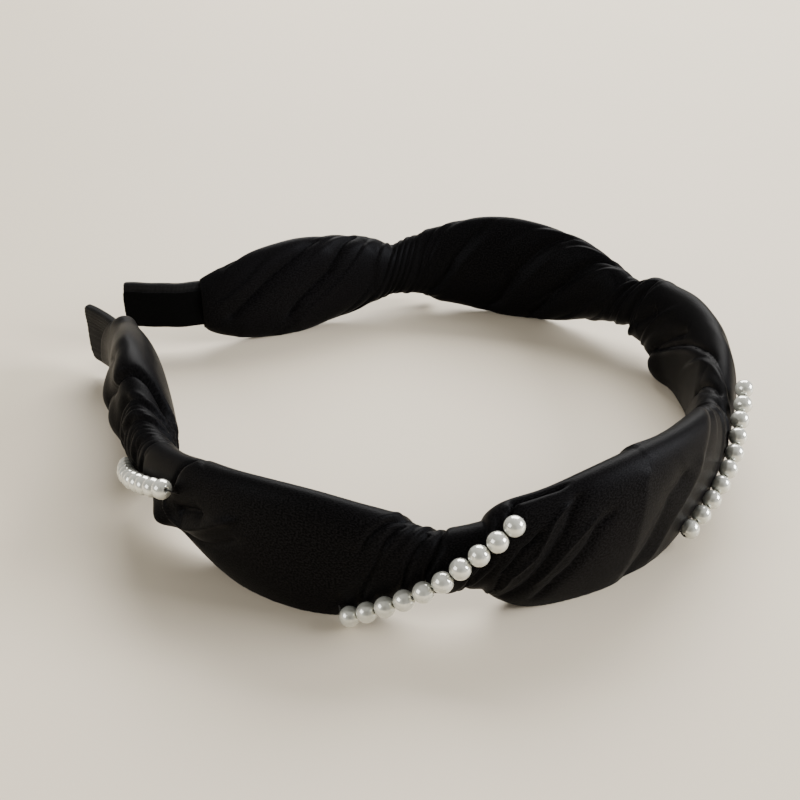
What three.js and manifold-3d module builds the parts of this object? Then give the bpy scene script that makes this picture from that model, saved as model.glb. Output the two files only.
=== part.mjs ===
// A headband: a springy hoop in a gathered satin sleeve, with a strand of pearls slanting across each
// gathered waist. It lies on its edge. Millimetres, +Z up, +X towards the crown, -X towards the open
// end, and the origin under the middle of its bounding box, on the surface that it lies on.

import * as THREE from 'three';
import { mergeVertices } from 'three/addons/utils/BufferGeometryUtils.js';
import Module from 'manifold-3d';

const wasm = await Module();
wasm.setup();

const { degToRad } = THREE.MathUtils;

// The band's centre line, from the crown round one side to a tip.
const CROWN_X = 74.8; // the crown's distance in front of the origin
const CROWN_RADIUS = 78;
const CROWN_TURN = degToRad(38);
const SIDE_RADIUS = 60;
const SIDE_TURN = degToRad(101.5);
const ARM_STRAIGHT = 34.5;
const FLARE_RADIUS = 52;
const FLARE_TURN = degToRad(34.5);

// How the band stands: its middle height, and how far its upper edge leans outwards.
const MID_HEIGHT = 13;
const LEAN = degToRad(7);

// The sleeve: five waists a pitch apart, a lobe between each two, and a shorter lobe at each end.
const WAIST_PITCH = 73.5;
const WAIST_COUNT = 5;
const WAIST_HALF_HEIGHT = 6.3;
const WAIST_HALF_THICKNESS = 4.4;
const LOBE_HALF_HEIGHT = 14.4;
const LOBE_HALF_THICKNESS = 5.4;
const MOUTH_HALF_HEIGHT = 6.1;
const MOUTH_HALF_THICKNESS = 3.1;
const LOBE_FULLNESS = 0.75; // below 1, a lobe swells quickly from its waist
const SLEEVE_SIDES = 14;
const SLEEVE_STEP = 2.4;

// The hoop inside, and the ribbon and lining on its bare ends.
const LEFT_BARE_END = 20;
const RIGHT_BARE_END = 15; // the sleeve was slipped on a little unevenly
const HOOP_WIDTH = 8.6;
const HOOP_THICKNESS = 1.6;
const RIBBON_THICKNESS = 0.6;
const LINING_THICKNESS = 0.8;
const LINING_WIDTH = 9.4;
const STRIP_STEP = 4;

// The pearls.
const BEAD_COUNT = 10;
const BEAD_DIAMETER = 4;
const BEAD_BORE = 1.2;
const BEAD_PITCH = 4.1;
const BEAD_SIDES = 9;
const BEAD_RINGS = 6;
// Each strand was sewn on by hand: how far its middle sits past its waist, and its rise for each
// millimetre along the band.
const STRANDS = [
  { shift: 1.3, slope: 0.42 },
  { shift: -5.5, slope: 0.64 },
  { shift: -7.3, slope: 0.52 },
  { shift: 1, slope: 0.36 },
  { shift: 5, slope: 0.45 },
];

const CLEARANCE = 0.28; // between pieces that touch
// The hoop bends at the middle of each lobe beside the crown: the gaps leave room for the swing.
const HINGE_ALONG = WAIST_PITCH / 2;
const HOOP_HINGE_GAP = 1.2;
const SLEEVE_HINGE_GAP = 4;

const LINE_STRETCHES = [
  { length: CROWN_RADIUS * CROWN_TURN, curvature: 1 / CROWN_RADIUS },
  { length: SIDE_RADIUS * SIDE_TURN, curvature: 1 / SIDE_RADIUS },
  { length: ARM_STRAIGHT, curvature: 0 },
  { length: FLARE_RADIUS * FLARE_TURN, curvature: -1 / FLARE_RADIUS },
];
const TIP_ALONG = LINE_STRETCHES.reduce((sum, stretch) => sum + stretch.length, 0);
const LAST_WAIST = WAIST_PITCH * ((WAIST_COUNT - 1) / 2);

// The place on the centre line at a distance along it from the crown, positive to the left (+Y), and
// the direction that is outwards there, as an angle from +X.
function lineAt(along) {
  let x = CROWN_X;
  let y = 0;
  let outward = 0;
  let left = Math.abs(along);
  for (const { length, curvature } of LINE_STRETCHES) {
    const step = Math.min(left, length);
    const turned = outward + curvature * step;
    if (curvature === 0) {
      x -= Math.sin(outward) * step;
      y += Math.cos(outward) * step;
    } else {
      x += (Math.cos(turned) - Math.cos(outward)) / curvature;
      y += (Math.sin(turned) - Math.sin(outward)) / curvature;
    }
    outward = turned;
    left -= step;
  }
  const side = Math.sign(along);
  return { x, y: side * y, outward: side * outward };
}

// A point given as (out from the centre line, along it, up the band) goes to its place in the round.
// Nothing reaches below the surface that the band lies on: fabric that would is pressed flat.
function wrapPoint(point) {
  const { x, y, outward } = lineAt(point.y);
  const out = point.x * Math.cos(LEAN) + point.z * Math.sin(LEAN);
  const height = MID_HEIGHT - point.x * Math.sin(LEAN) + point.z * Math.cos(LEAN);
  return point.set(x + out * Math.cos(outward), y + out * Math.sin(outward), Math.max(height, 0));
}

function movePoints(geometry, move) {
  const positions = geometry.attributes.position;
  const point = new THREE.Vector3();
  for (let i = 0; i < positions.count; i += 1) {
    point.fromBufferAttribute(positions, i);
    move(point);
    positions.setXYZ(i, point.x, point.y, point.z);
  }
  geometry.computeVertexNormals();
  return geometry;
}

// How far from the crown the sleeve ends, on the side that a distance along the band is on.
function mouthAt(along) {
  return TIP_ALONG - (along > 0 ? LEFT_BARE_END : RIGHT_BARE_END);
}

// Half the sleeve's height and thickness at a distance along the band.
function sleeveSize(along) {
  const distance = Math.abs(along);
  const inEndLobe = distance > LAST_WAIST;
  const lobeLength = inEndLobe ? mouthAt(along) - LAST_WAIST : WAIST_PITCH;
  const place = (inEndLobe ? distance - LAST_WAIST : distance) / lobeLength;
  const swell = Math.abs(Math.sin(Math.PI * place)) ** LOBE_FULLNESS;
  const towardsMouth = inEndLobe ? place : 0;
  const { lerp } = THREE.MathUtils;
  const narrowHeight = lerp(WAIST_HALF_HEIGHT, MOUTH_HALF_HEIGHT, towardsMouth);
  const narrowThickness = lerp(WAIST_HALF_THICKNESS, MOUTH_HALF_THICKNESS, towardsMouth);
  return {
    halfHeight: lerp(narrowHeight, LOBE_HALF_HEIGHT, swell),
    halfThickness: lerp(narrowThickness, LOBE_HALF_THICKNESS, swell),
  };
}

// A ring section: a circle of radius 1 for the sleeve's outside, and a square passage in it.
function sleeveSection(passageHalf) {
  const rim = Array.from({ length: SLEEVE_SIDES }, (_, i) => {
    const angle = (2 * Math.PI * (i + 0.5)) / SLEEVE_SIDES - Math.PI / 2;
    return new THREE.Vector2(Math.cos(angle), Math.sin(angle));
  });
  const passage = [[-1, -1], [-1, 1], [1, 1], [1, -1]].map(
    ([x, y]) => new THREE.Vector2(x * passageHalf, y * passageHalf),
  );
  const section = new THREE.Shape(rim);
  section.holes.push(new THREE.Path(passage));
  return section;
}

// A length of the sleeve: a straight tube with a passage for the hoop, swelled into lobes, then wrapped.
function sleeveGeometry(from, to) {
  const passageHalf = 0.4;
  const geometry = new THREE.ExtrudeGeometry(sleeveSection(passageHalf), {
    depth: to - from,
    steps: Math.round((to - from) / SLEEVE_STEP),
    bevelEnabled: false,
  });
  geometry.rotateX(-Math.PI / 2);
  geometry.translate(0, from, 0);
  const passageThickness = HOOP_THICKNESS / 2 + CLEARANCE;
  const passageWidth = HOOP_WIDTH / 2 + CLEARANCE;
  return movePoints(geometry, (point) => {
    const isRim = Math.hypot(point.x, point.z) > 0.9;
    const { halfHeight, halfThickness } = sleeveSize(point.y);
    point.x *= isRim ? halfThickness : passageThickness / passageHalf;
    point.z *= isRim ? halfHeight : passageWidth / passageHalf;
    wrapPoint(point);
  });
}

// A flat strip along the band, its middle at a distance out from the centre line, before it is wrapped.
function stripBlank({ from, to, thickness, width, out = 0 }) {
  const steps = Math.max(1, Math.round((to - from) / STRIP_STEP));
  const strip = new THREE.BoxGeometry(thickness, to - from, width, 1, steps, 1);
  return strip.translate(out, (from + to) / 2, 0);
}

function stripGeometry(size) {
  return movePoints(stripBlank(size), wrapPoint);
}

function toSolid(geometry) {
  const bare = geometry.clone();
  bare.deleteAttribute('normal');
  bare.deleteAttribute('uv');
  const merged = mergeVertices(bare, 1e-4);
  return new wasm.Manifold(
    new wasm.Mesh({
      numProp: 3,
      vertProperties: new Float32Array(merged.attributes.position.array),
      triVerts: new Uint32Array(merged.index.array),
    }),
  );
}

function fromSolid(solid) {
  const { vertProperties, triVerts } = solid.getMesh();
  const geometry = new THREE.BufferGeometry();
  geometry.setAttribute('position', new THREE.BufferAttribute(vertProperties, 3));
  geometry.setIndex(new THREE.BufferAttribute(triVerts, 1));
  geometry.computeVertexNormals();
  return geometry;
}

// Mirrored pieces are made on the right (-Y) by giving their span as minus the left one's.
function spanOn(side, near, far) {
  return side > 0 ? { from: near, to: far } : { from: -far, to: -near };
}

// The ribbon round a bare end: a pocket over the hoop's tip, open towards the sleeve.
function ribbonGeometry(side) {
  const pocketThickness = HOOP_THICKNESS + 2 * CLEARANCE;
  const pocketWidth = HOOP_WIDTH + 2 * CLEARANCE;
  const start = mouthAt(side) + CLEARANCE;
  const beyondMouth = 2;
  const outside = stripGeometry({
    ...spanOn(side, start, TIP_ALONG),
    thickness: pocketThickness + 2 * RIBBON_THICKNESS,
    width: pocketWidth + 2 * RIBBON_THICKNESS,
  });
  const pocket = stripGeometry({
    ...spanOn(side, start - beyondMouth, TIP_ALONG - RIBBON_THICKNESS),
    thickness: pocketThickness,
    width: pocketWidth,
  });
  return fromSolid(toSolid(outside).subtract(toSolid(pocket)));
}

// The lining: a thin strip on the ribbon's inner face.
function liningGeometry(side) {
  const ribbonHalf = HOOP_THICKNESS / 2 + CLEARANCE + RIBBON_THICKNESS;
  return stripGeometry({
    ...spanOn(side, mouthAt(side) + CLEARANCE, TIP_ALONG),
    thickness: LINING_THICKNESS,
    width: LINING_WIDTH,
    out: -(ribbonHalf + CLEARANCE + LINING_THICKNESS / 2),
  });
}

// A drilled pearl, its bore along Y.
function beadGeometry() {
  const radius = BEAD_DIAMETER / 2;
  const boreAngle = Math.asin(BEAD_BORE / BEAD_DIAMETER);
  const profile = Array.from({ length: BEAD_RINGS + 1 }, (_, i) => {
    const angle = boreAngle + ((Math.PI - 2 * boreAngle) * i) / BEAD_RINGS;
    return new THREE.Vector2(radius * Math.sin(angle), -radius * Math.cos(angle));
  });
  profile.push(profile[0].clone());
  return new THREE.LatheGeometry(profile, BEAD_SIDES);
}

// The line of a strand's bead centres: it climbs across a waist on the sleeve's outer face.
function strandLine(waistAlong, { shift, slope }) {
  const reach = 24;
  const samples = 48;
  const standOff = BEAD_DIAMETER / 2 + CLEARANCE;
  const points = Array.from({ length: samples + 1 }, (_, i) => {
    const beside = -reach + (2 * reach * i) / samples;
    const along = waistAlong + shift + beside;
    const { halfHeight, halfThickness } = sleeveSize(along);
    const up = slope * beside;
    const out = halfThickness * Math.sqrt(Math.max(0, 1 - (up / halfHeight) ** 2));
    const normal = new THREE.Vector2(out / halfThickness ** 2, up / halfHeight ** 2).normalize();
    return wrapPoint(
      new THREE.Vector3(out + normal.x * standOff, along, up + normal.y * standOff),
    );
  });
  return new THREE.CatmullRomCurve3(points);
}

const satin = new THREE.MeshStandardMaterial({ color: 0x17161a, roughness: 0.5, metalness: 0 });
const ribbon = new THREE.MeshStandardMaterial({ color: 0x211f22, roughness: 0.75, metalness: 0 });
const velvet = new THREE.MeshStandardMaterial({ color: 0x0b0a0c, roughness: 0.95, metalness: 0 });
const plastic = new THREE.MeshStandardMaterial({ color: 0x242427, roughness: 0.55, metalness: 0 });
const pearl = new THREE.MeshStandardMaterial({ color: 0xf1ece2, roughness: 0.22, metalness: 0 });

const headband = new THREE.Group();

function addPiece(name, geometry, material) {
  const piece = new THREE.Mesh(geometry, material);
  piece.name = name;
  headband.add(piece);
  return piece;
}

function addCrown() {
  const hoopEnd = HINGE_ALONG - HOOP_HINGE_GAP / 2;
  const sleeveEnd = HINGE_ALONG - SLEEVE_HINGE_GAP / 2;
  const hoopSize = { from: -hoopEnd, to: hoopEnd, thickness: HOOP_THICKNESS, width: HOOP_WIDTH };
  addPiece('crown_hoop', stripGeometry(hoopSize), plastic);
  addPiece('crown_sleeve', sleeveGeometry(-sleeveEnd, sleeveEnd), satin);
}

function addArm(arm, side) {
  const hoopEnd = TIP_ALONG - RIBBON_THICKNESS - CLEARANCE;
  const hoopSpan = spanOn(side, HINGE_ALONG + HOOP_HINGE_GAP / 2, hoopEnd);
  const sleeveSpan = spanOn(side, HINGE_ALONG + SLEEVE_HINGE_GAP / 2, mouthAt(side));
  const hoopSize = { ...hoopSpan, thickness: HOOP_THICKNESS, width: HOOP_WIDTH };
  addPiece(`${arm}_hoop`, stripGeometry(hoopSize), plastic);
  addPiece(`${arm}_sleeve`, sleeveGeometry(sleeveSpan.from, sleeveSpan.to), satin);
  addPiece(`${arm}_end_ribbon`, ribbonGeometry(side), ribbon);
  addPiece(`${arm}_end_lining`, liningGeometry(side), velvet);
}

// Ten beads threaded on a line, spaced evenly about the point of it that crosses the waist.
function addStrand(strand, waistAlong) {
  const line = strandLine(waistAlong, STRANDS[strand - 1]);
  const length = line.getLength();
  const up = new THREE.Vector3(0, 1, 0);
  for (let i = 0; i < BEAD_COUNT; i += 1) {
    const place = 0.5 + ((i - (BEAD_COUNT - 1) / 2) * BEAD_PITCH) / length;
    const bead = addPiece(`strand_${strand}_bead_${i + 1}`, beadGeometry(), pearl);
    bead.position.copy(line.getPointAt(place));
    bead.quaternion.setFromUnitVectors(up, line.getTangentAt(place));
  }
}

addCrown();
addArm('right', -1);
addArm('left', 1);
for (let strand = 1; strand <= WAIST_COUNT; strand += 1) {
  addStrand(strand, WAIST_PITCH * (strand - (WAIST_COUNT + 1) / 2));
}

export default headband;
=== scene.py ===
"""A headband: a springy hoop in a gathered, twisted satin sleeve, with a strand of pearls slanting
across each gathered waist. Metres, +Z up, +X towards the crown, standing on its edge at z = 0."""

import math

import bpy
import numpy as np
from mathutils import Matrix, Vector


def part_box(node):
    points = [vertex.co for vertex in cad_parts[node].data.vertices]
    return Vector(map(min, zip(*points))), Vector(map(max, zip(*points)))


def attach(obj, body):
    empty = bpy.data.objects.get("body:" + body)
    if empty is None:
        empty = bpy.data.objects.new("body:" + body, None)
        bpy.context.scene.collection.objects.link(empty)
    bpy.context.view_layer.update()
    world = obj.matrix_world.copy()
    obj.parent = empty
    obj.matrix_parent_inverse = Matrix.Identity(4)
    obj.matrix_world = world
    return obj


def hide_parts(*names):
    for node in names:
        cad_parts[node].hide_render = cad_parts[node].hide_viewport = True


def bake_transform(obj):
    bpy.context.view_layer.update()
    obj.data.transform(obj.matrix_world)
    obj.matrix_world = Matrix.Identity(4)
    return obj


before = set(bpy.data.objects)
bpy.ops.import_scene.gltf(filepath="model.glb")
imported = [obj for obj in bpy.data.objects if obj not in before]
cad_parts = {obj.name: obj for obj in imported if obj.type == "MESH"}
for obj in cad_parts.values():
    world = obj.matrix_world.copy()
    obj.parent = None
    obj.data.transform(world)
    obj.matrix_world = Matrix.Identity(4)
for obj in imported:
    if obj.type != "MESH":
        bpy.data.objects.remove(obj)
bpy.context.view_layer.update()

MM = 0.001

# ---------------------------------------------------------------------------------------------
# Camera, where the photograph was taken from
# ---------------------------------------------------------------------------------------------

CAMERA_PLACE = (0.1017, -0.2202, 0.1406)
CAMERA_AZIMUTH = math.radians(24.364)
CAMERA_ELEVATION = math.radians(29.191)
LENS_MM = 51.28
SENSOR_MM = 36


def add_camera():
    data = bpy.data.cameras.new("camera")
    data.lens = LENS_MM
    data.sensor_width = SENSOR_MM
    data.clip_start = 0.01
    camera = bpy.data.objects.new("camera", data)
    camera.location = CAMERA_PLACE
    camera.rotation_euler = (math.pi / 2 - CAMERA_ELEVATION, 0, CAMERA_AZIMUTH)
    bpy.context.collection.objects.link(camera)
    bpy.context.scene.camera = camera


add_camera()

# ---------------------------------------------------------------------------------------------
# The band's centre line. Millimetres; along is positive to the left (+Y) of the crown.
# ---------------------------------------------------------------------------------------------

CROWN_X = 74.8
CROWN_RADIUS = 78
SIDE_RADIUS = 60
ARM_STRAIGHT = 34.5
FLARE_RADIUS = 52
LINE_STRETCHES = (
    (CROWN_RADIUS * math.radians(38), 1 / CROWN_RADIUS),
    (SIDE_RADIUS * math.radians(101.5), 1 / SIDE_RADIUS),
    (ARM_STRAIGHT, 0),
    (FLARE_RADIUS * math.radians(34.5), -1 / FLARE_RADIUS),
)
TIP_ALONG = sum(length for length, _ in LINE_STRETCHES)
MID_HEIGHT = 13
LEAN = math.radians(7)

LEFT_BARE_END = 21
RIGHT_BARE_END = 15
LEFT_MOUTH = TIP_ALONG - LEFT_BARE_END
RIGHT_MOUTH = -(TIP_ALONG - RIGHT_BARE_END)
WAIST_PITCH = 73.5
WAISTS = WAIST_PITCH * np.arange(-2, 3)


def line_at(along):
    """x, y and the outward direction, as an angle from +X, at distances along the centre line."""
    left = np.abs(along)
    x = np.full(np.shape(along), float(CROWN_X))
    y = np.zeros(np.shape(along))
    outward = np.zeros(np.shape(along))
    for length, curvature in LINE_STRETCHES:
        step = np.clip(left, 0, length)
        turned = outward + curvature * step
        if curvature == 0:
            x = x - np.sin(outward) * step
            y = y + np.cos(outward) * step
        else:
            x = x + (np.cos(turned) - np.cos(outward)) / curvature
            y = y + (np.sin(turned) - np.sin(outward)) / curvature
        outward = turned
        left = left - step
    side = np.sign(along)
    return x, side * y, side * outward


def wrap(out, along, up):
    """Points in their places, given as (out from the line, along it, up the band)."""
    out, along, up = np.broadcast_arrays(out, along, up)
    x, y, outward = line_at(along)
    leaned = out * math.cos(LEAN) + up * math.sin(LEAN)
    height = MID_HEIGHT - out * math.sin(LEAN) + up * math.cos(LEAN)
    return np.stack([x + leaned * np.cos(outward), y + leaned * np.sin(outward), height], -1)


def smooth(value):
    """0 up to 0, 1 from 1 on, and eased in between."""
    part = np.clip(value, 0, 1)
    return part * part * (3 - 2 * part)


# ---------------------------------------------------------------------------------------------
# The sleeve's shape before it is creased
# ---------------------------------------------------------------------------------------------

# Half thickness, and the reach of the upper and of the lower half, where the sleeve is narrowest.
WAIST_HALF = (4.5, 7.1, 7.1)
RIGHT_MOUTH_HALF = (3.3, 6.1, 9.9)
LEFT_MOUTH_HALF = (3.1, 6.1, 8.0)
LOBE_ENDS = np.array([RIGHT_MOUTH, *WAISTS, LEFT_MOUTH])
# How far each lobe's swelling starts after its first waist, and ends before its second.
FLAT_STARTS = np.array([0, 1, 4.5, 0, 2, 0])
FLAT_ENDS = np.array([1, 4.5, 0, 2, 0, 0])
# Each lobe from the right mouth: its half thickness, and for its upper and its lower half how far
# it reaches from the centre line, how slowly it swells, and where along it is fullest.
LOBES = np.array([
    (6.4, 16.0, 1.15, 0.56, 15.0, 1.15, 0.54),
    (5.4, 14.6, 0.95, 0.58, 18.0, 1.48, 0.59),
    (6.0, 15.9, 0.47, 0.50, 19.5, 0.75, 0.47),
    (4.6, 12.5, 0.75, 0.56, 13.5, 0.85, 0.47),
    (5.0, 15.4, 0.90, 0.51, 13.2, 1.40, 0.50),
    (4.8, 13.2, 0.86, 0.45, 13.8, 0.70, 0.60),
])


def swell(place, slowness, fullest):
    """0 at both ends of a lobe and 1 where it is fullest."""
    skewed = np.clip(place, 0, 1) ** (math.log(0.5) / np.log(fullest))
    return np.abs(np.sin(math.pi * skewed)) ** slowness


def half_sizes(along):
    """Half thickness, and the reach of the upper and of the lower half, at distances along."""
    lobe = np.clip(np.searchsorted(LOBE_ENDS, along, side="right") - 1, 0, len(LOBES) - 1)
    start = LOBE_ENDS[lobe]
    place = (along - start) / (LOBE_ENDS[lobe + 1] - start)
    thick, upper, upper_slow, upper_peak, lower, lower_slow, lower_peak = LOBES[lobe].T
    to_right = np.where(lobe == 0, 1 - place, 0)
    to_left = np.where(lobe == len(LOBES) - 1, place, 0)
    narrow_thick, narrow_upper, narrow_lower = (
        waist + (right - waist) * to_right + (left - waist) * to_left
        for waist, right, left in zip(WAIST_HALF, RIGHT_MOUTH_HALF, LEFT_MOUTH_HALF)
    )
    first, last = start + FLAT_STARTS[lobe], LOBE_ENDS[lobe + 1] - FLAT_ENDS[lobe]
    swelling = (along - first) / (last - first)
    upper_swell = swell(swelling, upper_slow, upper_peak)
    lower_swell = swell(swelling, lower_slow, lower_peak)
    return (
        narrow_thick + (thick - narrow_thick) * (upper_swell + lower_swell) / 2,
        narrow_upper + (upper - narrow_upper) * upper_swell,
        narrow_lower + (lower - narrow_lower) * lower_swell,
    )


# ---------------------------------------------------------------------------------------------
# Creases. The sleeve is twisted on the hoop, tightest at its waists, and creases with the twist.
# ---------------------------------------------------------------------------------------------

LOBE_TWIST = 0.07            # radians for each millimetre along
WAIST_TWIST = 0.30
TWIST_CENTRE = -3            # from a waist
TWIST_SPREAD = 9
TWIST_STEPS = np.linspace(RIGHT_MOUTH - 5, LEFT_MOUTH + 5, 4001)


def twist_rates():
    """Radians of twist for each millimetre, at TWIST_STEPS."""
    from_centre = (TWIST_STEPS - WAISTS[:, None] - TWIST_CENTRE) / TWIST_SPREAD
    return LOBE_TWIST + WAIST_TWIST * np.exp(-(from_centre ** 2)).sum(0)


def running_total(values, places):
    """The area under a curve, up to each of its places."""
    return np.concatenate([[0], np.cumsum((values[1:] + values[:-1]) / 2 * np.diff(places))])


TWIST_RATES = twist_rates()
TWISTS = running_total(TWIST_RATES, TWIST_STEPS)


def twist(along):
    return np.interp(along, TWIST_STEPS, TWISTS)


def wrapped(turn):
    """The same direction as turn, between half a turn back and half a turn on."""
    return (turn + math.pi) % (2 * math.pi) - math.pi


class Field:
    """The sleeve as a grid, along by angle, and how far each point is sunk into the smooth shape."""

    def __init__(self, along, angle):
        self.along = along[:, None]
        self.angle = angle[None, :]
        self.thick, upper, lower = (half[:, None] for half in half_sizes(along))
        self.high = np.where(self.angle > 0, upper, lower)
        self.arc = np.hypot(self.thick * np.sin(self.angle), self.high * np.cos(self.angle))
        self.twist = twist(along)[:, None]
        self.rate = np.interp(along, TWIST_STEPS, TWIST_RATES)[:, None]
        self.sunk = np.zeros((len(along), len(angle)))

    def rows(self, low, high):
        """The grid's rows between two distances along."""
        return slice(*np.searchsorted(self.along[:, 0], (low, high)))


WANDER_PITCH = 5.0           # a crease wavers once every 2 pi of these
PLEAT_SLOPE = 3.2            # how wide a pleat's lower side is, in widths of its upper side
LAP_OFFSET = 2.3             # where, how wide and how high the lap beside a pleat stands
LAP_WIDTH = 1.5
LAP_HEIGHT = 0.4


def add_crease(field, along, angle, reach_back, reach_on, depth, width, wander):
    """A pleat through a point of the sleeve, running with the twist for a reach either way: its
    upper side laps over its lower side, which eases out over the cloth below."""
    rows = field.rows(along - reach_back, along + reach_on)
    if rows.stop - rows.start < 3:
        return
    past = field.along[rows] - along
    away = np.where(past < 0, -past / reach_back, past / reach_on)
    phase = angle - twist(along) + wander * np.sin(past / WANDER_PITCH)
    slant = 1 / np.sqrt(1 + (field.arc[rows] * field.rate[rows]) ** 2)
    above = wrapped(field.angle - field.twist[rows] - phase) * field.arc[rows] * slant
    spread = width * (0.8 + 0.8 * away)
    lower_side = np.exp(-np.abs(above) / (PLEAT_SLOPE * spread))
    upper_side = np.exp(-((above / spread) ** 2))
    lap = np.exp(-(((above - LAP_OFFSET * spread) / (LAP_WIDTH * spread)) ** 2))
    pleat = np.where(above > 0, upper_side, lower_side) - LAP_HEIGHT * lap
    field.sunk[rows] += depth * smooth(1.4 * (1 - away)) * pleat


def crease_waist(field, waist, count, strength, rng):
    """Creases spread evenly round a waist."""
    for k in range(count):
        add_crease(
            field,
            along=waist + rng.uniform(-5, 2),
            angle=2 * math.pi * (k + rng.uniform(-0.25, 0.25)) / count,
            reach_back=rng.uniform(8, 15),
            reach_on=rng.uniform(6, 13),
            depth=strength * rng.uniform(0.45, 0.95),
            width=rng.uniform(0.28, 0.45),
            wander=rng.uniform(-0.15, 0.15),
        )


RING_REACH = 9
RING_WAVER = 0.35


def add_ring(field, along, slant, depth, width, phase):
    """A crease right round the sleeve, where it is bunched up along the hoop."""
    rows = field.rows(along - RING_REACH, along + RING_REACH)
    at = along + slant * np.sin(field.angle - phase) + RING_WAVER * np.sin(3 * field.angle + 2 * phase)
    fades = 0.65 + 0.35 * np.sin(2 * field.angle + phase)
    field.sunk[rows] += depth * fades * np.exp(-((np.abs(field.along[rows] - at) / width) ** 1.2))


START_REACH = (16, 40)       # how far creases run into a lobe from its first waist
END_REACH = (12, 28)         # and from its second


def crease_lobe(field, start, end, counts, rng):
    """Creases that run out of the waists into a lobe, counts of them from its two ends."""
    ends = (start, 1, counts[0], START_REACH), (end, -1, counts[1], END_REACH)
    for from_end, toward, count, reach in ends:
        for k in range(count):
            near, far = rng.uniform(3, 7), rng.uniform(*reach)
            add_crease(
                field,
                along=from_end + toward * rng.uniform(6, 11),
                angle=2 * math.pi * (k + rng.uniform(-0.35, 0.35)) / count,
                reach_back=near if toward > 0 else far,
                reach_on=far if toward > 0 else near,
                depth=rng.uniform(0.25, 0.6),
                width=rng.uniform(0.4, 0.9),
                wander=rng.uniform(-0.12, 0.12),
            )


LEG_STEPS = 12               # along each leg of a path


def path_distance(field, rows, path):
    """How far points are from a path of (along, degrees), which side of it they are on, and how
    far along it they are, from 0 to 1."""
    path = np.array(path, float)
    path[:, 1] = np.unwrap(np.radians(path[:, 1]))
    steps = np.linspace(0, len(path) - 1, LEG_STEPS * (len(path) - 1) + 1)
    line = np.stack([np.interp(steps, np.arange(len(path)), column) for column in path.T], -1)
    arc = field.arc[rows]
    nearest = np.full(arc.shape, np.inf)
    side = np.zeros(arc.shape)
    place = np.zeros(arc.shape)
    for k, (point, heading) in enumerate(zip(line, np.gradient(line, axis=0))):
        along = field.along[rows] - point[0]
        around = wrapped(field.angle - point[1]) * arc
        distance = np.hypot(along, around)
        closer = distance < nearest
        nearest = np.where(closer, distance, nearest)
        side = np.where(closer, np.sign(along * heading[1] * arc - around * heading[0]), side)
        place = np.where(closer, k / (len(line) - 1), place)
    return nearest, side, place


def add_fold(field, path, depth, width, lift, reach):
    """A crease along a path of its own, or a ridge where depth is below 0. With lift, the cloth on
    one side of it (towards +along where the path climbs and lift is above 0) stands higher, for a
    reach."""
    first, last = min(path)[0], max(path)[0]
    rows = field.rows(first - 2 * reach, last + 2 * reach)
    distance, side, place = path_distance(field, rows, path)
    taper = smooth(6 * place + 0.35) * smooth(6 * (1 - place) + 0.35)
    sunk = depth * np.exp(-((distance / width) ** 1.2))
    past = smooth(side * distance / 0.8 * np.sign(lift) + 0.3)
    raised = abs(lift) * np.exp(-((distance / reach) ** 2)) * past
    field.sunk[rows] += taper * (sunk - raised)


def add_puff(field, along, degrees, size_along, size_around, height):
    """Cloth standing proud round a point."""
    away = ((field.along - along) / size_along) ** 2
    away = away + (wrapped(field.angle - math.radians(degrees)) * field.arc / size_around) ** 2
    field.sunk -= height * np.exp(-away)


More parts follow.
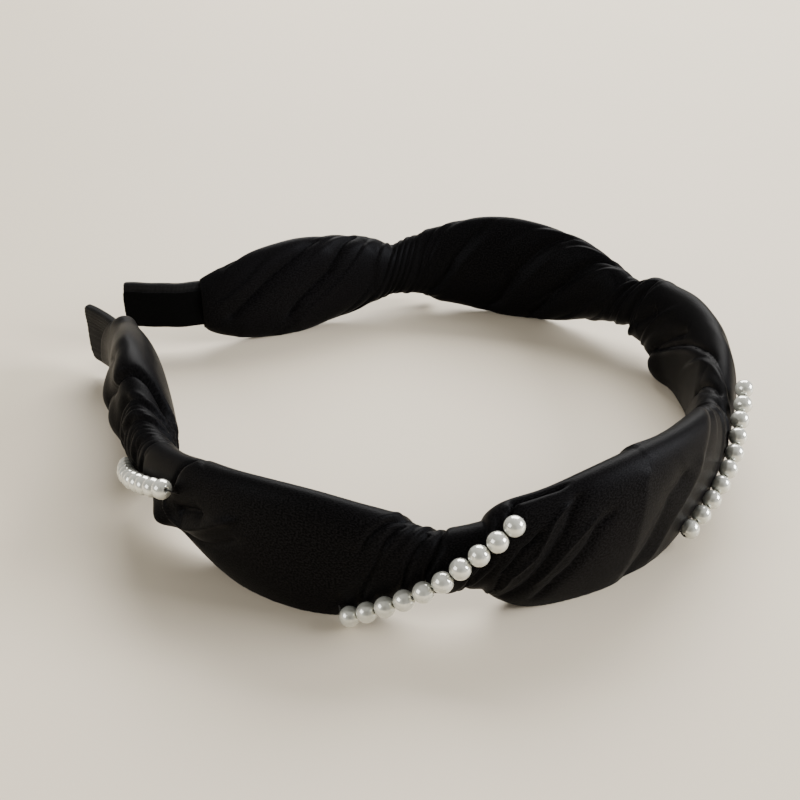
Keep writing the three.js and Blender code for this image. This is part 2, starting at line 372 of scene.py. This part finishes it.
# Creases with a place of their own: paths of (millimetres along, degrees round from the outer face
# over the top), and a depth, width, lift and reach for each.
FOLDS = (
    # The right end lobe: a layer that laps over the top, then the rings bunched before its waist.
    ([(-166, 40), (-164, 70), (-163, 95), (-161, 120), (-158.5, 135), (-155.5, 155), (-153, 180)],
     1.6, 0.5, -1.0, 8),
    ([(-176, -75), (-173.5, -20), (-172.5, 10), (-168.5, 30), (-165, 45)], 2.3, 0.9, 0, 5),
    ([(-166, -70), (-163.5, -20), (-162, 10), (-160.5, 30), (-159, 65)], 1.8, 0.7, 0, 5),
    ([(-184, -60), (-181, 0), (-179.5, 30), (-175, 50), (-171, 60)], 0.8, 1.2, 0, 5),
    # The second lobe laps over the waist before it, and below has a small cowl and a pocket.
    ([(-131.5, 20), (-129.5, 45), (-129, 60), (-128, 75), (-127, 85), (-125.5, 105)],
     1.3, 0.4, 0.55, 5),
    ([(-129.5, 5), (-127.5, 10), (-125, 15), (-121.5, 20)], 2.0, 1.1, 0, 5),
    ([(-133.5, 10), (-132.5, 0), (-131.5, -10), (-128, -10), (-122.5, 5), (-117.5, 20), (-113, 30)],
     -1.3, 0.9, 0, 5),
    ([(-130, -30), (-124, -20), (-118.5, -5), (-113, 10)], 1.0, 0.9, 0, 5),
    # Between the second and third lobes: the second laps over the waist's gathers.
    ([(-91, 25), (-89.5, 45), (-87.5, 65), (-86, 80), (-84.5, 90), (-83, 105)], 0.9, 0.35, -0.5, 5),
    ([(-91.5, -40), (-90.5, -20), (-88.5, 5), (-87.5, 25), (-86.5, 45), (-85, 65), (-83, 85)],
     0.9, 0.4, 0, 5),
    ([(-84, -25), (-83, 5), (-82, 30), (-80, 65), (-79, 85)], 1.0, 0.4, 0, 5),
    ([(-80, -5), (-79, 20), (-77.5, 55), (-77, 75), (-76, 120), (-74.5, 145)], 1.1, 0.35, 0, 5),
    ([(-79.5, 10), (-77.5, 40), (-76.5, 60)], 0.6, 0.35, 0, 5),
    ([(-73, -100), (-72.5, -60), (-72, 5)], 0.9, 0.4, 0, 5),
    ([(-68.5, -80), (-68, -65), (-66.5, 0), (-63.5, 25), (-62, 30), (-60, 40)], 0.9, 0.4, 0, 5),
    # Over the third lobe: long ridges with a valley after each, and the back laid over its rim.
    ([(-69, -70), (-68, -45), (-65, -5), (-61, 15), (-59.5, 30), (-58, 45), (-56, 55), (-53, 60)],
     -0.55, 0.45, 0, 5),
    ([(-66, -50), (-63, -25), (-59.5, 0), (-58, 15), (-55.5, 35), (-54, 55), (-52, 65)],
     1.0, 1.0, 0, 5),
    ([(-61, -20), (-58.5, -5), (-55, 15), (-52.5, 25), (-49.5, 35)], -0.45, 0.5, 0, 5),
    ([(-60, -40), (-56.5, -15), (-54, -5), (-51.5, 10), (-49.5, 25), (-46, 35)], 0.8, 0.9, 0, 5),
    ([(-42, -40), (-40, -15), (-40, 10), (-39.5, 25), (-39, 45), (-37.5, 60)], -0.35, 2.2, 0, 6),
    ([(-39, -45), (-37.5, -30), (-35, -15), (-33.5, 0), (-31.5, 20), (-29, 25), (-26, 35)],
     0.9, 2.6, 0, 6),
    ([(-33, -35), (-31.5, -25), (-29.5, -5), (-26, 10), (-22, 25), (-21, 40)], -0.4, 1.6, 0, 6),
    ([(-66, 70), (-64.5, 80), (-64, 95), (-61.5, 95), (-58.5, 95), (-54, 90)], 1.6, 0.55, 0, 5),
    ([(-37.5, 95), (-38, 120), (-37.5, 150)], 0.15, 0.5, 0.55, 5),
    # Between the fourth and fifth lobes, and the lips on the inside of the fourth.
    ([(68, -150), (66.5, 180), (66, 150), (65.5, 130), (64, 100)], 1.2, 0.6, 0, 5),
    ([(66.5, -160), (62, 175), (58.5, 155)], 1.2, 1.2, 0, 5),
    ([(59, -130), (51.5, -170), (46.5, 170), (40, 150)], 1.2, 1.0, 0, 5),
    ([(57, -130), (55, -150), (44.5, -180), (36.5, 160), (27, 140), (18.5, 115)], 1.0, 0.6, 0.9, 7),
    ([(16, 175), (14, 155), (9, 120), (5, 80)], 1.1, 0.7, 0, 5),
    # The far lobes, on their inner faces.
    ([(118, -120), (114, -140), (108.5, 175), (100.5, 135), (95, 110)], 1.4, 1.5, 0.6, 7),
    ([(104, -115), (101, -135), (91.5, 170), (84.5, 120), (80, 90)], 1.5, 1.4, 0.7, 7),
    ([(136, -130), (133, -150), (128.5, 165), (124, 140), (118, 110)], 1.2, 1.2, 0.3, 6),
    ([(197, -150), (194, -165), (185, 160), (175.5, 135), (168, 110)], 1.2, 1.5, 0.6, 6),
    ([(181, -145), (177, -165), (167.5, 165), (161.5, 125), (157, 100)], 1.2, 1.4, 0.6, 6),
)
SEED = 11
# At each waist, from the right: how many creases, and how strong. For each lobe, from the right: how
# many creases run into it from each of its ends.
WAIST_CREASES = (4, 3, 8, 9, 9)
WAIST_STRENGTHS = (1, 1, 1, 1, 0.5)
LOBE_CREASES = ((0, 0), (0, 2), (0, 3), (5, 5), (6, 6), (6, 4))
# Rings bunched up before the first waist: along, slant, depth, width, phase.
RINGS = (
    (-158.6, 2.2, 0.60, 0.40, 0.9),
    (-157.1, 2.1, 0.75, 0.32, 0.8),
    (-155.8, 2.0, 0.60, 0.30, 0.9),
    (-154.6, 1.9, 0.70, 0.30, 0.7),
    (-153.3, 1.9, 0.60, 0.28, 0.9),
    (-152.2, 1.8, 0.70, 0.30, 0.8),
    (-150.9, 1.7, 0.60, 0.28, 1.0),
    (-149.8, 1.6, 0.70, 0.30, 0.8),
    (-148.5, 1.5, 0.80, 0.34, 1.0),
    (-146.8, 1.4, 0.70, 0.36, 1.1),
    (-145.0, 1.2, 0.75, 0.40, 0.7),
)
# Places where the cloth stands proud: along, degrees, size along, size round, height.
PUFFS = (
    (-176.2, 8, 3.4, 6, 2.4),
    (-166.6, 6, 2.8, 5, 2.0),
    (-203, 100, 4.0, 4, 1.6),
    (-157, 0, 4.0, 6, 1.0),
    (-197, -15, 7.0, 7, 1.7),
    (-137, -32, 2.6, 3, 2.6),
    (53, -125, 5, 5, 1.8),
    (-66, 95, 6, 4, 1.2),
    (66, 60, 5, 8, 1.0),
)
LUMP_WAVES = 28
LUMP_DEPTH = 0.025
LUMP_PITCHES = (14, 34)


def lumps(points, rng):
    """Slow unevenness of slack cloth, the same wherever it is sampled."""
    total = np.zeros(points.shape[:-1])
    for _ in range(LUMP_WAVES):
        direction = rng.normal(size=3)
        direction /= np.linalg.norm(direction)
        pitch = rng.uniform(*LUMP_PITCHES)
        total += np.sin(points @ direction * (2 * math.pi / pitch) + rng.uniform(0, 2 * math.pi))
    return total * LUMP_DEPTH


STRAND_BODIES = {1: "right_arm", 2: "right_arm", 3: "crown", 4: "left_arm", 5: "left_arm"}
BEADS = 10
PEARL_DIAMETER = 4.1
PEARL_GAP = 0.08             # between a pearl and the cloth
DEEPEST = 2.6                # for a crease
PRESSES = 6
FLOOR_GAP = 0.03


def bead_centres():
    """The pearls' centres in millimetres, strand by strand, from the CAD's beads."""
    centres = {}
    for strand in STRAND_BODIES:
        boxes = [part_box(f"strand_{strand}_bead_{i + 1}") for i in range(BEADS)]
        centres[strand] = np.array([(np.array(low) + np.array(high)) / 2 for low, high in boxes]) / MM
    return centres


BEAD_CENTRES = bead_centres()


def press_under_pearls(points, inward):
    """Moves cloth inwards until it clears every pearl."""
    clear = PEARL_DIAMETER / 2 + PEARL_GAP
    for centre in np.concatenate(list(BEAD_CENTRES.values())):
        near = np.nonzero(np.abs(points - centre).max(-1) < 2 * clear)
        if not len(near[0]):
            continue
        moved, way = points[near], inward[near]
        for _ in range(PRESSES):
            gap = clear - np.linalg.norm(moved - centre, axis=1)
            moved = moved + way * np.maximum(gap, 0)[:, None]
        points[near] = moved
    return points


MOUTH_SLANT = 9              # how much further the right end lobe runs below than above
SLANT_REACH = 14
TIP_FLARE = 0.26             # outwards for each millimetre down, below the middle of the right tip


def slanted(field):
    """Distance along for each point of the grid, with the slant of the right mouth."""
    near_mouth = np.clip(1 - (field.along - RIGHT_MOUTH) / SLANT_REACH, 0, 1.1)
    return field.along - MOUTH_SLANT * near_mouth * (1 - np.sin(field.angle)) / 2


def tip_flare(along, up):
    """How far outwards the lower half of the right tip stands, eased in round its middle."""
    below = (np.hypot(up, 2) - up) / 2
    return TIP_FLARE * below * smooth((-along + RIGHT_MOUTH + SLANT_REACH) / (1.5 * SLANT_REACH))


def sleeve_surface(along, angle, inset):
    """Points of the creased sleeve, in metres, as a grid: along, in rising order, by angle. inset is
    how far in each ring lies."""
    field = Field(along, angle)
    rng = np.random.default_rng(SEED)
    for waist in zip(WAISTS, WAIST_CREASES, WAIST_STRENGTHS):
        crease_waist(field, *waist, rng)
    for ring in RINGS:
        add_ring(field, *ring)
    for start, end, counts in zip(LOBE_ENDS[:-1], LOBE_ENDS[1:], LOBE_CREASES):
        crease_lobe(field, start, end, counts, rng)
    for path, depth, width, lift, reach in FOLDS:
        add_fold(field, path, depth, width, lift, reach)
    for puff in PUFFS:
        add_puff(field, *puff)
    cos, sin = np.cos(field.angle), np.sin(field.angle)
    normal_out, normal_up = cos / field.thick, sin / field.high
    size = np.hypot(normal_out, normal_up)
    normal_out, normal_up = normal_out / size, normal_up / size
    out, up = field.thick * cos, field.high * sin
    out = out + tip_flare(field.along, up)
    spread = slanted(field)
    sunk = field.sunk + lumps(wrap(out, spread, up), rng)
    sunk = np.where(sunk > 0, DEEPEST * np.tanh(sunk / DEEPEST), sunk) + inset[:, None]
    points = wrap(out - sunk * normal_out, spread, up - sunk * normal_up)
    inward = points - wrap(out - (sunk - 1) * normal_out, spread, up - (sunk - 1) * normal_up)
    points = press_under_pearls(points, inward)
    points[..., 2] = np.maximum(points[..., 2], FLOOR_GAP)
    return points * MM


def grid_mesh(name, points, uv=None, close_across=False):
    """A mesh of quads over a grid of points, smooth shaded."""
    rows, cols = points.shape[:2]
    index = np.arange(rows * cols).reshape(rows, cols)
    right = np.roll(index, -1, axis=1) if close_across else index[:, 1:]
    near = index if close_across else index[:, :-1]
    quads = np.stack([near[:-1], right[:-1], right[1:], near[1:]], -1).reshape(-1, 4)
    mesh = bpy.data.meshes.new(name)
    mesh.vertices.add(rows * cols)
    mesh.vertices.foreach_set("co", points.reshape(-1).astype(np.float32))
    mesh.loops.add(quads.size)
    mesh.loops.foreach_set("vertex_index", quads.reshape(-1).astype(np.int32))
    mesh.polygons.add(len(quads))
    mesh.polygons.foreach_set("loop_start", np.arange(0, quads.size, 4, dtype=np.int32))
    mesh.update(calc_edges=True)
    if uv is not None:
        layer = mesh.uv_layers.new(name="cloth")
        corners = uv.reshape(-1, 2)[quads.reshape(-1)]
        layer.data.foreach_set("uv", corners.reshape(-1).astype(np.float32))
    mesh.polygons.foreach_set("use_smooth", np.ones(len(quads), dtype=bool))
    mesh.validate()
    return mesh


def add_object(name, mesh, material):
    obj = bpy.data.objects.new(name, mesh)
    bpy.context.collection.objects.link(obj)
    mesh.materials.append(material)
    return obj


# ---------------------------------------------------------------------------------------------
# Materials
# ---------------------------------------------------------------------------------------------

SATIN_THREADS = (2500, 3600, 1)      # to a metre, along and round the sleeve
RIBBON_BANDS = (900, 60, 1)


def new_material(name):
    """A material, its node tree and its shader."""
    material = bpy.data.materials.new(name)
    material.use_nodes = True
    nodes = material.node_tree.nodes
    nodes.clear()
    output = nodes.new("ShaderNodeOutputMaterial")
    shader = nodes.new("ShaderNodeBsdfPrincipled")
    material.node_tree.links.new(shader.outputs["BSDF"], output.inputs["Surface"])
    return material, material.node_tree, shader


def node(tree, kind, **settings):
    """A shader node, with inputs and properties set by name."""
    made = tree.nodes.new(kind)
    for key, value in settings.items():
        if key in made.inputs.keys():
            made.inputs[key].default_value = value
        else:
            setattr(made, key, value)
    return made


def object_place(tree):
    return node(tree, "ShaderNodeTexCoord").outputs["Object"]


def cloth_place(tree):
    return node(tree, "ShaderNodeUVMap", uv_map="cloth").outputs["UV"]


def mapped(tree, vector, scale):
    mapping = node(tree, "ShaderNodeMapping")
    mapping.inputs["Scale"].default_value = scale
    tree.links.new(vector, mapping.inputs["Vector"])
    return mapping.outputs["Vector"]


def noise(tree, vector, scale, detail, roughness=0.5):
    texture = node(tree, "ShaderNodeTexNoise", Scale=scale, Detail=detail, Roughness=roughness)
    tree.links.new(vector, texture.inputs["Vector"])
    return texture.outputs["Fac"]


def vary_colour(tree, shader, factor, dark, light):
    colour = node(tree, "ShaderNodeMix", data_type="RGBA")
    colour.inputs["A"].default_value = (*dark, 1)
    colour.inputs["B"].default_value = (*light, 1)
    tree.links.new(factor, colour.inputs["Factor"])
    tree.links.new(colour.outputs["Result"], shader.inputs["Base Color"])


def vary_roughness(tree, shader, factor, low, high):
    rough = node(tree, "ShaderNodeMapRange")
    rough.inputs["To Min"].default_value = low
    rough.inputs["To Max"].default_value = high
    tree.links.new(factor, rough.inputs["Value"])
    tree.links.new(rough.outputs["Result"], shader.inputs["Roughness"])


def add_bump(tree, shader, height, strength, distance):
    bump = node(tree, "ShaderNodeBump", Strength=strength, Distance=distance)
    tree.links.new(height, bump.inputs["Height"])
    tree.links.new(bump.outputs["Normal"], shader.inputs["Normal"])


def satin_material():
    material, tree, shader = new_material("satin_black")
    shader.inputs["Specular IOR Level"].default_value = 0.024
    shader.inputs["Specular Tint"].default_value = (0.84, 0.90, 1.0, 1)
    shader.inputs["Sheen Weight"].default_value = 0.006
    shader.inputs["Sheen Roughness"].default_value = 0.35
    shader.inputs["Sheen Tint"].default_value = (0.75, 0.78, 0.85, 1)
    place = cloth_place(tree)
    slub = noise(tree, mapped(tree, place, SATIN_THREADS), scale=1, detail=2, roughness=0.6)
    cloud = noise(tree, place, scale=90, detail=3)
    speckle = node(tree, "ShaderNodeMapRange", interpolation_type="SMOOTHSTEP")
    speckle.inputs["From Min"].default_value = 0.36
    speckle.inputs["From Max"].default_value = 0.66
    tree.links.new(slub, speckle.inputs["Value"])
    dark, light = (0.0013, 0.0012, 0.0012), (0.0082, 0.0078, 0.0084)
    vary_colour(tree, shader, speckle.outputs["Result"], dark, light)
    vary_roughness(tree, shader, cloud, low=0.36, high=0.46)
    add_bump(tree, shader, slub, strength=0.3, distance=0.0002)
    return material


def pearl_material():
    material, tree, shader = new_material("pearl_ivory")
    shader.inputs["Metallic"].default_value = 0.5
    shader.inputs["Coat Weight"].default_value = 1.0
    shader.inputs["Coat Roughness"].default_value = 0.03
    cloud = noise(tree, object_place(tree), scale=450, detail=3)
    vary_colour(tree, shader, cloud, (0.67, 0.68, 0.61), (0.80, 0.81, 0.74))
    vary_roughness(tree, shader, cloud, low=0.10, high=0.17)
    add_bump(tree, shader, cloud, strength=0.06, distance=0.00005)
    return material


def ribbon_material():
    material, tree, shader = new_material("ribbon_grosgrain")
    shader.inputs["Specular IOR Level"].default_value = 0.07
    shader.inputs["Sheen Weight"].default_value = 0.02
    shader.inputs["Sheen Roughness"].default_value = 0.4
    shader.inputs["Roughness"].default_value = 0.55
    bands = node(tree, "ShaderNodeTexWave", Scale=1.0, Distortion=0.4, Detail=1.0)
    bands.wave_type = "BANDS"
    bands.bands_direction = "X"
    tree.links.new(mapped(tree, cloth_place(tree), RIBBON_BANDS), bands.inputs["Vector"])
    ribs = bands.outputs["Fac"]
    vary_colour(tree, shader, ribs, (0.0035, 0.0034, 0.0034), (0.0110, 0.0105, 0.0105))
    add_bump(tree, shader, ribs, strength=0.6, distance=0.00015)
    return material


def velvet_material():
    material, tree, shader = new_material("velvet_black")
    shader.inputs["Specular IOR Level"].default_value = 0.05
    shader.inputs["Sheen Weight"].default_value = 0.01
    shader.inputs["Sheen Roughness"].default_value = 0.6
    shader.inputs["Roughness"].default_value = 0.95
    pile = noise(tree, object_place(tree), scale=2500, detail=2)
    vary_colour(tree, shader, pile, (0.0006, 0.0006, 0.0006), (0.0016, 0.0015, 0.0015))
    add_bump(tree, shader, pile, strength=0.6, distance=0.0002)
    return material


def hoop_material():
    material, tree, shader = new_material("hoop_plastic")
    shader.inputs["Base Color"].default_value = (0.018, 0.018, 0.019, 1)
    grain = noise(tree, object_place(tree), scale=900, detail=2)
    vary_roughness(tree, shader, grain, low=0.45, high=0.65)
    return material


def thread_material():
    material, tree, shader = new_material("thread_black")
    shader.inputs["Roughness"].default_value = 0.5
    strands = noise(tree, object_place(tree), scale=4000, detail=1)
    vary_colour(tree, shader, strands, (0.004, 0.004, 0.004), (0.012, 0.012, 0.012))
    return material


satin = satin_material()
pearl = pearl_material()
ribbon = ribbon_material()
velvet = velvet_material()
plastic = hoop_material()
thread = thread_material()

# ---------------------------------------------------------------------------------------------
# The sleeve, in two halves that meet at the crown's waist
# ---------------------------------------------------------------------------------------------

BLEND_START = 22             # meant as where the crown's hold on the cloth starts to give way to the arm's; only points on the line here are worked out, and no blend is made
BLEND_END = 52
LOBE_RING_PITCH = 0.5
WAIST_RING_PITCH = 0.27
WAIST_REACH = 12             # how far from a waist the rings start to spread, and over how far
SPREADING = 8
SLEEVE_SIDES = 200
UV_GIRTH = 10                # millimetres of weave for each radian round the sleeve
# The hem turned in at a mouth: how far past the mouth, and how far in, each of its rings is.
HEM = ((0.25, 0.08), (0.42, 0.3), (0.35, 0.55), (0.0, 0.8), (-1.0, 0.95), (-2.6, 1.0))


def line_point(along):
    return tuple(wrap(0.0, np.array(float(along)), 0.0) * MM)


def ring_places(mouth):
    """Distances from the crown's waist, closer together near the waists."""
    fine = np.linspace(0, mouth, 4000)
    from_waist = np.abs(fine[:, None] - np.abs(WAISTS)[None, :]).min(1)
    spreading = smooth((from_waist - WAIST_REACH) / SPREADING)
    pitch = WAIST_RING_PITCH + (LOBE_RING_PITCH - WAIST_RING_PITCH) * spreading
    counted = np.concatenate([[0], np.cumsum(np.diff(fine) / pitch[1:])])
    return np.interp(np.linspace(0, counted[-1], int(counted[-1])), counted, fine)


def add_sleeve(name, arm, side, mouth):
    """Half the sleeve, from the crown's waist to a mouth, with its long seam on the inner face."""
    hem = np.array(HEM)
    rings = ring_places(mouth)
    along = side * np.concatenate([rings, mouth + hem[:, 0]])
    inset = np.concatenate([np.zeros(len(rings)), hem[:, 1]])
    angle = np.linspace(-math.pi, math.pi, SLEEVE_SIDES + 1)
    order = np.argsort(along, kind="stable")
    surface = np.empty((len(along), len(angle), 3))
    surface[order] = sleeve_surface(along[order], angle, inset[order])
    if side < 0:
        surface, along = surface[::-1], along[::-1]
    uv = np.stack(np.broadcast_arrays(along[:, None], angle[None, :] * UV_GIRTH), -1) * MM
    obj = add_object(name, grid_mesh(name, surface, uv), satin)
    line_point(side * BLEND_START)
    line_point(side * BLEND_END)
    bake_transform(obj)
    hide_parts("crown_sleeve", f"{arm}_sleeve")
    return obj


for arm, side, mouth in (("left", 1, LEFT_MOUTH), ("right", -1, -RIGHT_MOUTH)):
    sleeve = add_sleeve(f"sleeve_{arm}", arm, side, mouth)

# ---------------------------------------------------------------------------------------------
# Pearls and their threads
# ---------------------------------------------------------------------------------------------

PEARL_RADIUS = PEARL_DIAMETER / 2 * MM
BORE_RADIUS = 0.45 * MM
THREAD_RADIUS = 0.16 * MM
PEARL_STEPS = 18             # from one rim of the bore to the other
PEARL_SIDES = 28
PEARL_SEED = 5
SMALLEST_PEARL = 0.985       # over the largest
THREAD_DIVE = 3              # how deep the thread's ends go


def pearl_mesh(name, centre, direction, radius):
    """A drilled pearl: a lathed sphere whose rims roll into the bore."""
    rim = 1.35 * math.asin(BORE_RADIUS / radius)
    turn = np.linspace(rim, math.pi - rim, PEARL_STEPS + 1)
    lip = np.array([(0.6 * BORE_RADIUS, 0.80 * radius), (BORE_RADIUS, 0.93 * radius)])
    ball = radius * np.stack([np.sin(turn), -np.cos(turn)], -1)
    profile = np.concatenate([lip * (1, -1), ball, lip[::-1]])
    across, ahead = profile[:, :1], profile[:, 1:]
    around = np.linspace(0, 2 * math.pi, PEARL_SIDES, endpoint=False)
    rings = np.broadcast_arrays(across * np.cos(around), across * np.sin(around), ahead)
    local = np.stack(rings, -1)
    spin = np.array(Vector(direction).to_track_quat("Z", "Y").to_matrix())
    return grid_mesh(name, local @ spin.T + np.array(centre), close_across=True)


def tube_mesh(name, path, radius, sides=8):
    """A round tube along a path."""
    path = np.array(path)
    tangent = np.gradient(path, axis=0)
    tangent /= np.linalg.norm(tangent, axis=1, keepdims=True)
    side = np.cross(tangent, (0, 0, 1.0))
    side /= np.linalg.norm(side, axis=1, keepdims=True)
    other = np.cross(side, tangent)
    turn = np.linspace(0, 2 * math.pi, sides, endpoint=False)
    ring = side[:, None] * np.cos(turn)[:, None] + other[:, None] * np.sin(turn)[:, None]
    return grid_mesh(name, path[:, None] + ring * radius, close_across=True)


def nearest_line_point(place):
    line = wrap(0.0, np.linspace(RIGHT_MOUTH, LEFT_MOUTH, 800), 0.0) * MM
    return line[np.linalg.norm(line - place, axis=1).argmin()]


def add_strand(strand, body, rng):
    """Ten pearls, and the thread through them that dives into the cloth at both ends."""
    centres = BEAD_CENTRES[strand] * MM
    direction = np.gradient(centres, axis=0)
    for i, (centre, ahead) in enumerate(zip(centres, direction)):
        name = f"pearl_{strand}_{i + 1}"
        radius = PEARL_RADIUS * rng.uniform(SMALLEST_PEARL, 1)
        obj = add_object(name, pearl_mesh(name, centre, ahead, radius), pearl)
        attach(obj, body)
        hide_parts(f"strand_{strand}_bead_{i + 1}")
    ends = []
    for centre, ahead in ((centres[0], -direction[0]), (centres[-1], direction[-1])):
        ahead = ahead / np.linalg.norm(ahead)
        inwards = nearest_line_point(centre) - centre
        inwards -= ahead * (inwards @ ahead)
        inwards /= np.linalg.norm(inwards)
        rim = centre + 0.97 * ahead * PEARL_RADIUS
        ends.append([rim, rim + 0.3 * inwards * MM, rim + (THREAD_DIVE * inwards - 0.3 * ahead) * MM])
    path = [*ends[0][::-1], *centres, *ends[1]]
    name = f"thread_{strand}"
    obj = add_object(name, tube_mesh(name, path, THREAD_RADIUS), thread)
    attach(obj, body)


pearl_rng = np.random.default_rng(PEARL_SEED)
for strand, body in STRAND_BODIES.items():
    add_strand(strand, body, pearl_rng)

# ---------------------------------------------------------------------------------------------
# The hoop, and the ribbon and lining on its bare ends
# ---------------------------------------------------------------------------------------------

for name in ("crown_hoop", "left_hoop", "right_hoop"):
    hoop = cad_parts[name]
    hoop.data.materials.clear()
    hoop.data.materials.append(plastic)

RIBBON_HALF = (1.4, 5.3)     # half thickness, reach above the middle
RIBBON_INSIDE = 4            # how far the ribbon runs on inside the sleeve
RIBBON_SIDES = 96
RIB_COUNT = 11
RIB_DEPTH = 0.07
LINING_HALF = (0.42, 3.1)
LINING_SIDES = 64
LINING_OUT = -1.62
LINING_LOW = 2.1             # the lining's reach below the middle, over its reach above
SQUARENESS = 4               # of a strip's section: 2 is an ellipse
STRIP_RING_PITCH = 0.5
CUT_TOP = 0.35               # where a cut corner starts, from -1 at a strip's lower edge to 1
CUT_REACH = 1.4
STRIP_GIRTH = 24             # millimetres of weave round a strip
# The rounding of a strip's end: how far on, and how much of its thickness is left.
END_ROUNDING = ((0.0, 1.0), (0.35, 0.97), (0.62, 0.88), (0.80, 0.70), (0.86, 0.35), (0.87, 0.0))
# Each bare end: how much its lower corner is cut back, and the ribbon's reach below the middle, over
# its reach above.
BARE_ENDS = (("left", 1, LEFT_MOUTH, 2.0, 1.32), ("right", -1, -RIGHT_MOUTH, 4.0, 1.72))


def strip_section(half_thick, half_wide, count):
    """A rounded rectangle as (out, up) points, evenly turned."""
    turn = np.linspace(0, 2 * math.pi, count, endpoint=False)
    cos, sin = np.cos(turn), np.sin(turn)
    size = (np.abs(cos) ** SQUARENESS + np.abs(sin) ** SQUARENESS) ** (-1 / SQUARENESS)
    return half_thick * cos * size, half_wide * sin * size


def sway(along):
    """How far a strip strays from true, as it was laid on by hand."""
    return 0.10 * np.sin(along / 3.1) + 0.06 * np.sin(along / 1.3 + 1)


def strip_surface(near, far, cut, low, side, section, middle_out, ribs):
    """A strip along the band from near to far, closed and rounded at its far end, whose lower corner
    is cut away in a curve. low is its reach below the middle over its reach above."""
    rounding = np.array(END_ROUNDING)
    last = far - rounding[-1, 0]
    steps = np.linspace(near, last, int((far - near) / STRIP_RING_PITCH))
    along = np.concatenate([steps[:-1], last + rounding[:, 0]])[:, None]
    shrink = np.concatenate([np.ones(len(steps) - 1), rounding[:, 1]])[:, None]
    out, up = section
    across = up / np.abs(up).max()
    face = np.sign(out) * (np.abs(out) > 0.75 * np.abs(out).max())
    out = middle_out + (out + ribs * face * np.cos(math.pi * RIB_COUNT * across)) * shrink
    up = np.where(up < 0, low, 1) * up * (0.6 + 0.4 * shrink)
    corner = cut * (1 - np.sqrt(1 - np.maximum((CUT_TOP - across) / CUT_REACH, 0) ** 2))
    along = along - corner * smooth((along - near) / (far - near))
    out = out + tip_flare(side * along, up)
    return wrap(out + 0.5 * sway(along), side * along, up + sway(along)) * MM, along


def add_strip(name, arm, side, surface, along, material, node_name):
    """A strip that rides on its arm."""
    around = np.linspace(0, STRIP_GIRTH, surface.shape[1])
    uv = np.stack(np.broadcast_arrays(along, around), -1) * MM
    if side < 0:
        surface, uv = surface[::-1], uv[::-1]
    obj = add_object(name, grid_mesh(name, surface, uv, close_across=True), material)
    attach(obj, f"{arm}_arm")
    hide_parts(node_name)


ribbon_section = strip_section(*RIBBON_HALF, RIBBON_SIDES)
lining_section = strip_section(*LINING_HALF, LINING_SIDES)
for arm, side, mouth, cut, low in BARE_ENDS:
    surface, along = strip_surface(
        mouth - RIBBON_INSIDE, TIP_ALONG + 0.5, cut, low, side, ribbon_section, 0, RIB_DEPTH,
    )
    add_strip(f"ribbon_{arm}", arm, side, surface, along, ribbon, f"{arm}_end_ribbon")
    surface, along = strip_surface(
        mouth - RIBBON_INSIDE / 2, TIP_ALONG, cut, LINING_LOW, side, lining_section, LINING_OUT, 0,
    )
    add_strip(f"lining_{arm}", arm, side, surface, along, velvet, f"{arm}_end_lining")

# ---------------------------------------------------------------------------------------------
# Floor and lights
# ---------------------------------------------------------------------------------------------


def floor_material():
    material, tree, shader = new_material("floor_pale")
    shader.inputs["Roughness"].default_value = 0.55
    shader.inputs["Specular IOR Level"].default_value = 0.25
    cloud = noise(tree, object_place(tree), scale=7, detail=3)
    vary_colour(tree, shader, cloud, (0.690, 0.610, 0.475), (0.730, 0.645, 0.510))
    return material


FLOOR_HALF = 3.0


def add_floor():
    corners = FLOOR_HALF * np.array([[[-1, -1, 0], [1, -1, 0]], [[-1, 1, 0], [1, 1, 0]]])
    floor = add_object("floor", grid_mesh("floor", corners), floor_material())


def add_light(name, place, size, power, colour):
    """A window or panel that faces the headband."""
    data = bpy.data.lights.new(name, "AREA")
    data.shape = "RECTANGLE"
    data.size, data.size_y = size
    data.energy = power
    data.color = colour
    light = bpy.data.objects.new(name, data)
    light.location = place
    light.rotation_mode = "QUATERNION"
    light.rotation_quaternion = (-Vector(place)).to_track_quat("-Z", "Y")
    bpy.context.collection.objects.link(light)


DIM_SIDE = Vector((0.37, -0.80, 0.47)).normalized()


def add_world():
    """A pale room with one dim side."""
    world = bpy.data.worlds.new("studio")
    world.use_nodes = True
    tree = world.node_tree
    background = tree.nodes["Background"]
    background.inputs["Color"].default_value = (1.0, 0.975, 0.93, 1)
    place = node(tree, "ShaderNodeTexCoord")
    facing = node(tree, "ShaderNodeVectorMath", operation="DOT_PRODUCT")
    facing.inputs[1].default_value = DIM_SIDE
    tree.links.new(place.outputs["Generated"], facing.inputs[0])
    strength = node(tree, "ShaderNodeMapRange", interpolation_type="SMOOTHSTEP")
    strength.inputs["From Min"].default_value = 0.86
    strength.inputs["From Max"].default_value = 0.99
    strength.inputs["To Min"].default_value = 0.42
    strength.inputs["To Max"].default_value = 0.06
    tree.links.new(facing.outputs["Value"], strength.inputs["Value"])
    tree.links.new(strength.outputs["Result"], background.inputs["Strength"])
    bpy.context.scene.world = world


add_floor()
add_world()
add_light("back_window", (-0.35, 1.40, 1.15), (1.5, 1.1), 66, (1.0, 0.98, 0.95))
add_light("front_fill", (-0.90, -1.10, 0.70), (1.0, 0.8), 11, (1.0, 0.98, 0.95))
add_light("side_window", (1.25, 0.45, 0.60), (0.8, 0.6), 36, (0.98, 0.98, 1.0))
